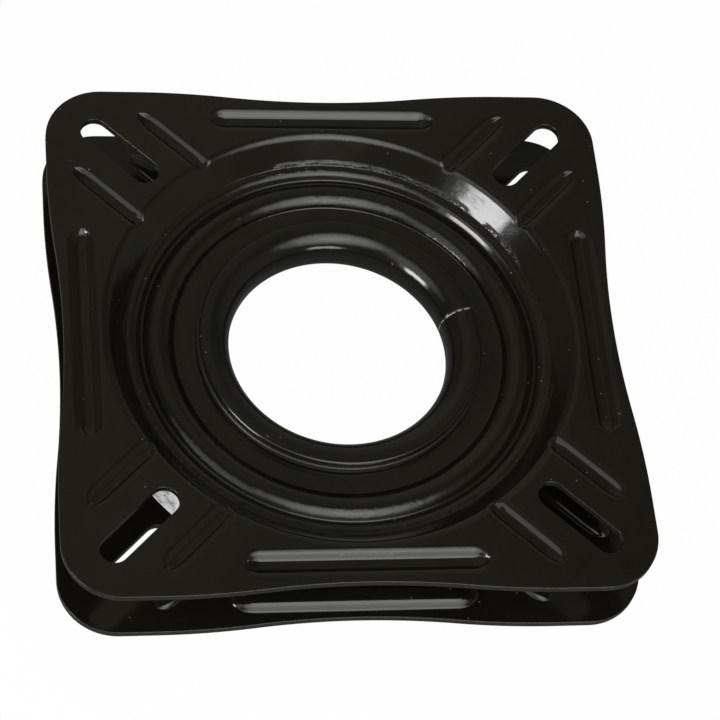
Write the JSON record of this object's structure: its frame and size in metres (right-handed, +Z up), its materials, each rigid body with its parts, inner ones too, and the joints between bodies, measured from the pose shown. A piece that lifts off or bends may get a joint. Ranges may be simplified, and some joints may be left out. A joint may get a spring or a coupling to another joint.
{
  "type": "boat seat swivel",
  "caption": "Low seat swivel: two square pressed steel plates with slotted corners turn on a ball race round a rolled ring.",
  "frame": {"origin": "centre of the bottom mounting face, on the swivel axis", "axes": "+Z up along the swivel axis, X and Y along the plates' sides"},
  "size_m": [0.1778, 0.1778, 0.027],
  "materials": {
    "plate_paint": "gloss black paint on pressed steel",
    "ring_paint": "gloss black paint on rolled steel",
    "slip_plastic": "black plastic, painted over at its edge",
    "cage_plastic": "natural plastic",
    "ball_steel": "polished steel"
  },
  "bodies": {
    "base": {"bottom_plate": "plate_paint", "retaining_ring": "ring_paint", "lower_slip_washer": "slip_plastic", "upper_slip_washer": "slip_plastic"},
    "seat_side": {"top_plate": "plate_paint"},
    "ball_row": {"ball_cage": "cage_plastic", "balls": "ball_steel"}
  },
  "joints": [
    {"name": "swivel", "type": "hinge", "parent": "base", "child": "seat_side", "pos_m": [0, 0, 0.0135], "axis": [0, 0, 1], "continuous": true},
    {"name": "ball_row_turn", "type": "hinge", "parent": "base", "child": "ball_row", "pos_m": [0, 0, 0.0135], "axis": [0, 0, 1], "continuous": true}
  ],
  "couplings": [
    {"joint": "ball_row_turn", "follows": "swivel", "ratio": 0.5}
  ]
}
